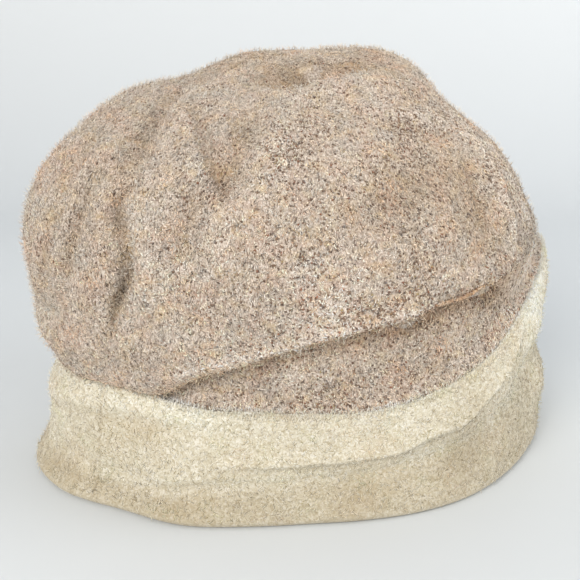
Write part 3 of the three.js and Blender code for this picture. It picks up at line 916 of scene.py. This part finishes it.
def bandSurface(settings):
    # the closed section of the doubled felt carried around the hat, its rows outside, and the shade and light
    # painted on them, with the dark line of the seam
    angles = spread(settings["spans"])
    cuff = readTable(cuffColumns, cuffRows, angles)
    halfFelt = hat["felt"] / 2
    edge = cuff["height"] - halfFelt
    footRound, footHeight = hat["footRound"], hat["footHeight"]
    foot = cuffFace(cuff, footRound) - footRound
    toe = foot + footRound - hat["footWidth"]

    def inside(z):
        return cuffSlant(cuff, z) - hat["felt"], z

    halfEdge = (cuffFace(cuff, edge) - inside(edge)[0]) / 2
    flat = np.zeros_like(angles)
    rim = flat + footHeight
    shares = np.arange(1, settings["faceRows"]) / settings["faceRows"]
    face = [footRound + share * (edge - footRound) for share in shares]
    section = [(toe, flat), (toe + settings["underRun"], flat)]
    section += arc(foot, footRound, footRound, footRound, -90, 0, settings["footRows"])
    firstOutside = len(section) - 1
    section += [(cuffFace(cuff, z), z) for z in face]
    section += arc(inside(edge)[0] + halfEdge, edge, halfEdge, halfFelt, 0, 180, settings["edgeRows"])
    endOutside = len(section)
    section += [inside(edge + share * (footHeight - edge)) for share in settings["insideShares"]]
    section += [(toe + hat["toeBevel"], rim), (toe, rim - hat["toeBevel"]), (toe, rim / 2)]
    grid = np.stack([place(angles, reach + flat, z + flat) for reach, z in section])
    normals = normalsOf(grid)
    heights = grid[..., 2]
    rise = lumpsOf(grid, settings) + bumpRise(grid, angles, bandBumps)
    rise *= smoothStep(heights, *settings["lumpsFrom"])
    fromSeam = np.radians(angles - settings["seamAngle"]) * (cuff["foot"] + cuff["top"]) / 2
    seam = settings["seamDepth"] * hump(fromSeam, settings["seamWidth"])
    rise -= seam * smoothStep(heights, *settings["seamFrom"])
    shown = np.zeros(len(grid))
    shown[firstOutside:endOutside] = 1
    shown[endOutside - settings["fadeRows"]:endOutside] = np.linspace(1, 0, settings["fadeRows"])
    folds, foldDark = foldsOf(grid, normals, bandFolds)
    # painted shade below the valley, painted light on top and at the turned-over edge, the dark seam line,
    # painted patches and the painted shade of the folds
    dark = cuffShadingAndSeam["low"] * smoothStep(heights - cuff["valley"], *cuffShadingAndSeam["lowFrom"])
    dark -= cuffShadingAndSeam["top"] * smoothStep(heights - cuff["height"], *cuffShadingAndSeam["topFrom"])
    dark += cuffShadingAndSeam["seam"] * hump(fromSeam, cuffShadingAndSeam["seamWidth"])
    fromEdge = np.arange(len(grid))[:, None] - endOutside + cuffShadingAndSeam["edgeRow"]
    dark -= cuffShadingAndSeam["edge"] * hump(fromEdge, cuffShadingAndSeam["edgeRows"])
    dark += paintedShadingOf(grid, bandShadingPatches) + foldDark * shown[:, None]
    moved = grid + normals * ((rise + folds) * shown[:, None])[..., None]
    return moved, slice(firstOutside, endOutside), paintedShadingTone(dark, *settings["shadingTurn"])


bandGrid, bandOutside, bandShadingAndSeam = bandSurface(band)
bandFaces = gridFaces(*bandGrid.shape[:2], loop=True)
# the painted shade and light of the felt, with its seam line, for every point
feltShadingAndSeam = np.ones((bandGrid.size // 3, 4))
feltShadingAndSeam[:, :3] = bandShadingAndSeam.reshape(-1, 3)
bandFelt = buildPiece("bandFelt", bandGrid.reshape(-1, 3), bandFaces, cuffFelt, feltShadingAndSeam)
print("band:", len(bandFaces), "faces")


# Wool on both faces: short flat strands that make the grain, dark ones that paint the shade in the pits of
# the weave and thin raised hairs that make the fuzz

tweedTones = {
    "#f6e8d9": 20, "#e0d1c0": 28, "#c9baaa": 25, "#ab9c8d": 15, "#817366": 8, "#5d524a": 5,
    "#bfa28f": 3, "#cdb7a6": 4, "#a28774": 2.4, "#aba299": 2, "#cdc2b5": 7,
}
# painted shade of the pits in the weave
pitShadeTones = {
    "#5f493b": 4, "#755c4a": 7, "#856b57": 7, "#987e69": 4, "#8f5f45": 2, "#7b7370": 1, "#a08c66": 1,
}
hairTones = {
    "#f3ebe1": 30, "#e2d9cf": 30, "#cabfb4": 20, "#ac9f93": 6, "#c0b29e": 3, "#9f8475": 1.4, "#b0aba4": 2,
}
feltTones = {"#e6e1d3": 26, "#dcd5c1": 34, "#cec4ab": 26, "#b9ac8d": 14}
feltHairs = {"#f3eede": 40, "#e9e1cd": 30, "#dccfb5": 12}

# dye that drifts over the cloth in patches: mm wide, strength and which way it turns the colour
tweedDrifts = (
    (2.4, 0.04, (1.1, 0.8, -0.4)), (5.5, 0.04, (0.9, 0.0, -1.0)), (7.5, 0.035, (0.7, -0.6, -1.1)),
    (11, 0.04, (1, 1, 1.05)),
)
feltDrifts = ((6, 0.03, (-0.2, 0.3, -1.3)), (13, 0.03, (0.5, -0.4, -1.0)), (21, 0.03, (1, 1, 1.2)))
toning = {
    "spread": 0.06,  # from strand to strand
    "worn": 0.22,  # the specks are this much fainter at the top
    "wornFrom": (95, 150),  # mm
    "leastDrift": -0.4,
    "driftSeed": 30,
    "brightest": 0.95,
}

# how each kind of strand is cut and laid: mm, and radians for the lean
crownGrain = {"count": 44000, "long": (1.1, 2.9), "wide": (0.26, 0.5), "lift": (0.08, 0.3), "lean": 0.8}
# the dark slivers that paint the shade in the pits of the weave
crownPits = {"count": 11000, "long": (0.9, 2.0), "wide": (0.55, 1.1), "lift": (0.12, 0.28), "lean": 0.6}
crownFuzz = {"count": 28000, "long": (1.6, 3.8), "wide": (0.09, 0.14), "rise": (0.4, 2.4), "lean": 1.1}
bandGrain = {"count": 14000, "long": (1.2, 3.0), "wide": (0.24, 0.44), "lift": (0.06, 0.18), "lean": 1.6}
bandCurls = {"count": 15000, "long": (1.8, 4.0), "wide": (0.11, 0.19), "rise": (0.0, 0.35), "lean": 3.0}
bandFuzz = {"count": 6000, "long": (1.4, 3.2), "wide": (0.07, 0.12), "rise": (0.4, 2.2), "lean": 1.4}
edgeFuzz = {
    "count": 6000, "long": (1.8, 3.4), "wide": (0.08, 0.15), "rise": (0.0, 0.5), "lean": 1.2, "upright": 2.5,
}
meanTurn = 0.25  # radians, the way most strands lean
floorGap = 0.15  # mm, no strand lies lower
sliver = {"sunk": 0.1, "broadest": (-0.3, 0.3), "tip": (-0.1, 0.2)}
hair = {
    "sunk": 0.2,
    "swing": (0, 0.6),  # mean and spread of its bend, sideways and off the cloth
    "bend": (-0.1, 0.5),
    "section": ((1, 0), (-0.5, 0.87), (-0.5, -0.87)),  # three corners, sideways and off the cloth
}


def cellMiddles(grid):
    # of the four corners of each cell
    right = np.roll(grid, -1, 1)
    return (grid[:-1] + right[:-1] + right[1:] + grid[1:]) / 4


def scatter(grid, weight, count, rng):
    # places on a grid with their normal and their direction up the profile
    right = np.roll(grid, -1, 1)
    a, b, c, d = grid[:-1], right[:-1], right[1:], grid[1:]
    normal = np.cross(b - a, d - a) + np.cross(c - b, d - c)
    area = np.linalg.norm(normal, axis=-1)
    chance = (area * weight).ravel()
    pick = rng.choice(chance.size, count, p=chance / chance.sum())
    a, b, c, d = (corner.reshape(-1, 3)[pick] for corner in (a, b, c, d))
    u, v = rng.random((2, count, 1))
    spots = (a * (1 - u) + b * u) * (1 - v) + (d * (1 - u) + c * u) * v
    normal = normal.reshape(-1, 3)[pick] / np.maximum(area.ravel()[pick, None], 1e-9)
    up = d - a
    up = unit(up - normal * (up * normal).sum(1, keepdims=True))
    return spots, normal, up, pick


def pickTones(palette, drifts, spots, napAndShading, rng):
    # a colour for each strand, with the painted shade and light of the cloth under it, turned by the dye that
    # drifts over the cloth
    colours = np.array([linearOf(colour)[:3] for colour in palette])
    weights = np.array(list(palette.values()), float)
    weights /= weights.sum()
    tones = colours[rng.choice(len(colours), len(spots), p=weights)]
    worn = toning["worn"] * smoothStep(spots[:, 2:], *toning["wornFrom"])
    tones += worn * (weights @ colours - tones)
    tones = tones * napAndShading * np.exp(rng.normal(0, toning["spread"], (len(spots), 1)))
    for seed, (size, strength, way) in enumerate(drifts, toning["driftSeed"]):
        drift = strength * np.maximum(waves(spots, size, seed), toning["leastDrift"])
        tones = tones * np.exp(drift[:, None] * np.array(way))
    return np.concatenate([tones.clip(0, toning["brightest"]), np.ones((len(spots), 1))], 1)


def between(limits, count, rng):
    return rng.uniform(*limits, (count, 1))


def layOut(cloth, cover, look, rng):
    # where each strand lies on the cloth, which way it runs, and the painted shade and light there
    count = look["count"]
    spots, normal, up, pick = scatter(cloth["grid"], cover, count, rng)
    side = np.cross(normal, up)
    turn = rng.normal(meanTurn, look["lean"], (count, 1))
    way = up * np.cos(turn) + side * np.sin(turn)
    way = unit(way + look.get("upright", 0) * np.array([0, 0, 1]))
    return spots, normal, way, np.cross(normal, way), cellMiddles(cloth["tone"]).reshape(-1, 3)[pick]


def slivers(spots, normal, way, across, look, rng):
    # closed slivers that lie along the cloth with their broad middle raised
    count = look["count"]
    half = between(look["long"], count, rng) / 2
    wide = between(look["wide"], count, rng) / 2
    raised = spots + normal * between(look["lift"], count, rng)
    middle = raised + way * half * between(sliver["broadest"], count, rng)
    start = spots - way * half - normal * sliver["sunk"]
    end = spots + way * half + normal * between(sliver["tip"], count, rng)
    points = np.stack([start, middle + across * wide, middle - across * wide, end], 1)
    return points, [(0, 2, 1), (3, 1, 2), (0, 1, 3), (0, 3, 2)]


def hairs(spots, normal, way, across, look, rng):
    # thin closed hairs with a bend in the middle, which stand off the cloth
    count = look["count"]
    half = between(look["long"], count, rng) / 2
    wide = between(look["wide"], count, rng)
    first = unit(normal * between(look["rise"], count, rng) + way)
    swing = across * rng.normal(*hair["swing"], (count, 1))
    bend = normal * rng.normal(*hair["bend"], (count, 1))
    second = unit(first + swing + bend)
    root = spots - normal * hair["sunk"]
    knee = root + first * half
    ring = [knee + (a * across + b * normal) * wide for a, b in hair["section"]]
    points = np.stack([root] + ring + [knee + second * half], 1)
    return points, [(0, 2, 1), (0, 3, 2), (0, 1, 3), (4, 1, 2), (4, 2, 3), (4, 3, 1)]


def layStrands(name, cloth, shape, cover, look, palette, seed):
    rng = np.random.default_rng(seed)
    spots, normal, way, across, napAndShading = layOut(cloth, cover, look, rng)
    points, corners = shape(spots, normal, way, across, look, rng)
    points[..., 2] = np.maximum(points[..., 2], floorGap)
    count, each = points.shape[:2]
    faces = (np.arange(count)[:, None, None] * each + np.array(corners)).reshape(-1, 3)
    tones = pickTones(palette, cloth["drifts"], spots, napAndShading, rng)
    return buildPiece(name, points.reshape(-1, 3), faces, cloth["strand"], np.repeat(tones, each, 0))


# How thickly the strands lie, by where on the cloth
woolCover = {
    "underEdge": 2,  # mm below the band's edge, where the wool of the crown starts
    "behindLip": 0.3,
    "splitHeight": 108,  # mm, parts the grain into two pieces of about the same size
    "clusters": {"wide": 16, "strength": 0.5, "seed": 77},
    "thinAcross": (-75, 5),  # mm along x and up, between which the nap grows thin and shows the weave
    "thinUp": (160, 135),
    "pits": (0.15, 1),  # in thick nap and in thin nap
    "hairs": (1.6, 0.7),
    "edgeRows": (-13, -4),
    "foot": {"plain": 0.6, "more": 3, "height": 1, "tall": 3},  # more hairs near the floor
}


def crownCovers(grid, settings):
    cells = cellMiddles(grid)
    x, y, z = np.moveaxis(cells, -1, 0)
    angles = np.degrees(np.arctan2(y + hat["middle"][1], x + hat["middle"][0]))
    edge = readTable(cuffColumns, cuffRows, angles.ravel())["height"].reshape(angles.shape)
    plain = (z > edge - settings["underEdge"]).astype(float)
    plain[slice(*crown["grooveRows"])] *= settings["behindLip"]
    low = z < settings["splitHeight"]
    clusters = settings["clusters"]
    thin = smoothStep(x, *settings["thinAcross"]) * smoothStep(z, *settings["thinUp"])
    pits, napAndShading = [thick + (bare - thick) * thin for thick, bare in (settings["pits"], settings["hairs"])]
    pits = pits * np.exp(clusters["strength"] * waves(cells, clusters["wide"], clusters["seed"]))
    return {"low": plain * low, "high": plain * ~low, "pits": plain * pits, "hairs": plain * napAndShading}


def bandCovers(grid, settings):
    z = cellMiddles(grid)[..., 2]
    edge = np.zeros_like(z)
    edge[slice(*settings["edgeRows"])] = 1
    foot = settings["foot"]
    return {"plain": np.ones_like(z), "edge": edge,
            "foot": foot["plain"] + foot["more"] * hump(z - foot["height"], foot["tall"])}


cloths = {
    "crown": {"grid": crownOuter, "tone": crownPaintedShading, "drifts": tweedDrifts, "strand": tweedStrand},
    "band": {"grid": bandGrid[bandOutside], "tone": bandShadingAndSeam[bandOutside], "drifts": feltDrifts,
             "strand": feltStrand},
}
slots = {"crown": "tweed_wool", "band": "boiled_wool"}
onCrown = crownCovers(cloths["crown"]["grid"], woolCover)
onBand = bandCovers(cloths["band"]["grid"], woolCover)
strands = [  # with the seed of each at the end
    ("crownGrainLow", "crown", slivers, onCrown["low"], crownGrain, tweedTones, 3),
    ("crownGrainHigh", "crown", slivers, onCrown["high"], crownGrain, tweedTones, 4),
    ("crownPits", "crown", slivers, onCrown["pits"], crownPits, pitShadeTones, 6),
    ("crownFuzz", "crown", hairs, onCrown["hairs"], crownFuzz, hairTones, 5),
    ("bandGrain", "band", slivers, onBand["plain"], bandGrain, feltTones, 7),
    ("bandCurls", "band", hairs, onBand["plain"], bandCurls, feltHairs, 10),
    ("bandFuzz", "band", hairs, onBand["foot"], bandFuzz, feltHairs, 9),
    ("bandEdgeFuzz", "band", hairs, onBand["edge"], edgeFuzz, feltHairs, 8),
]
pieces = [(crownCloth, "crown", slots["crown"]), (bandFelt, "band", slots["band"])]
for name, cloth, *given in strands:
    pieces.append((layStrands(name, cloths[cloth], *given), None, slots[cloth]))
for piece, node, slot in pieces:
    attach(piece, "root")
    if node:
        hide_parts(node)
print("strands laid:", sum(len(piece.data.polygons) for piece, *_ in pieces), "faces in all")


# Stage: pale floor that sweeps up behind, and soft light from the upper left

stage = {
    "room": "#eef0f1",
    "roomStrength": 0.42,
    "aim": 80,  # mm over the floor, where the lights point
    "floor": "#d1d5d8",
    "wall": "#e3e6e8",
    "back": 420,  # mm behind the middle of the hat where the floor turns up
    "bend": 260,
    "bendRows": 16,
    "wide": 2600,
    "high": 1800,
    "front": 1500,
}


def paintedBoard(look):
    # Painted board: matt white with a faint cool cast, a little lighter where it stands upright
    material, tree = newMaterial("paintedBoard")
    height = addNode(tree, "SeparateXYZ", None, {0: inMillimetres(tree, (look["bend"],) * 3)})
    paint = addNode(tree, "ValToRGB", {"stops": [(0.02, look["floor"]), (0.9, look["wall"])]},
                    {"Fac": height.outputs["Z"]})
    surface = addNode(tree, "BsdfPrincipled", {"Roughness": 0.8}, {"Base Color": paint.outputs["Color"]})
    addNode(tree, "OutputMaterial", None, {"Surface": surface.outputs[0]})
    return material


def addFloor(look):
    turns = np.radians(np.linspace(0, 90, look["bendRows"]))
    wall = look["back"] + look["bend"]
    y = np.concatenate([[-look["front"]], look["back"] + look["bend"] * np.sin(turns), [wall]])
    z = np.concatenate([[0], look["bend"] * (1 - np.cos(turns)), [look["high"]]])
    turn = math.radians(camera["azimuth"])
    rows = []
    for across in (-look["wide"] / 2, look["wide"] / 2):
        x = across * math.cos(turn) - y * math.sin(turn)
        rows.append(np.stack([x, across * math.sin(turn) + y * math.cos(turn), z], -1))
    j = np.arange(len(y) - 1)
    faces = np.stack([j, j + len(y), j + len(y) + 1, j + 1], -1)
    buildPiece("floor", np.concatenate(rows), faces, paintedBoard(look))


addFloor(stage)

lights = [  # name, place and width in mm, watts, colour
    ("key", (-700, -780, 700), 600, 11.5, "#fffbf5"),
    ("fill", (950, -420, 430), 900, 7.6, "#fdfdfc"),
    ("over", (-100, 100, 1200), 1200, 3.0, "#ffffff"),
]


def addLight(name, spot, size, watts, colour):
    lamp = bpy.data.lights.new(name, "AREA")
    lamp.shape = "DISK"
    lamp.size = size * mm
    lamp.energy = watts
    lamp.color = linearOf(colour)[:3]
    holder = bpy.data.objects.new(name, lamp)
    holder.location = Vector(spot) * mm
    aim = Vector((0, 0, stage["aim"] * mm)) - holder.location
    holder.rotation_euler = aim.to_track_quat("-Z", "Y").to_euler()
    bpy.context.scene.collection.objects.link(holder)


for light in lights:
    addLight(*light)

world = bpy.data.worlds.new("room")
world.use_nodes = True
background = world.node_tree.nodes["Background"]
background.inputs["Color"].default_value = linearOf(stage["room"])
background.inputs["Strength"].default_value = stage["roomStrength"]
bpy.context.scene.world = world
bpy.context.scene.view_settings.view_transform = "Standard"
print("stage and light set")
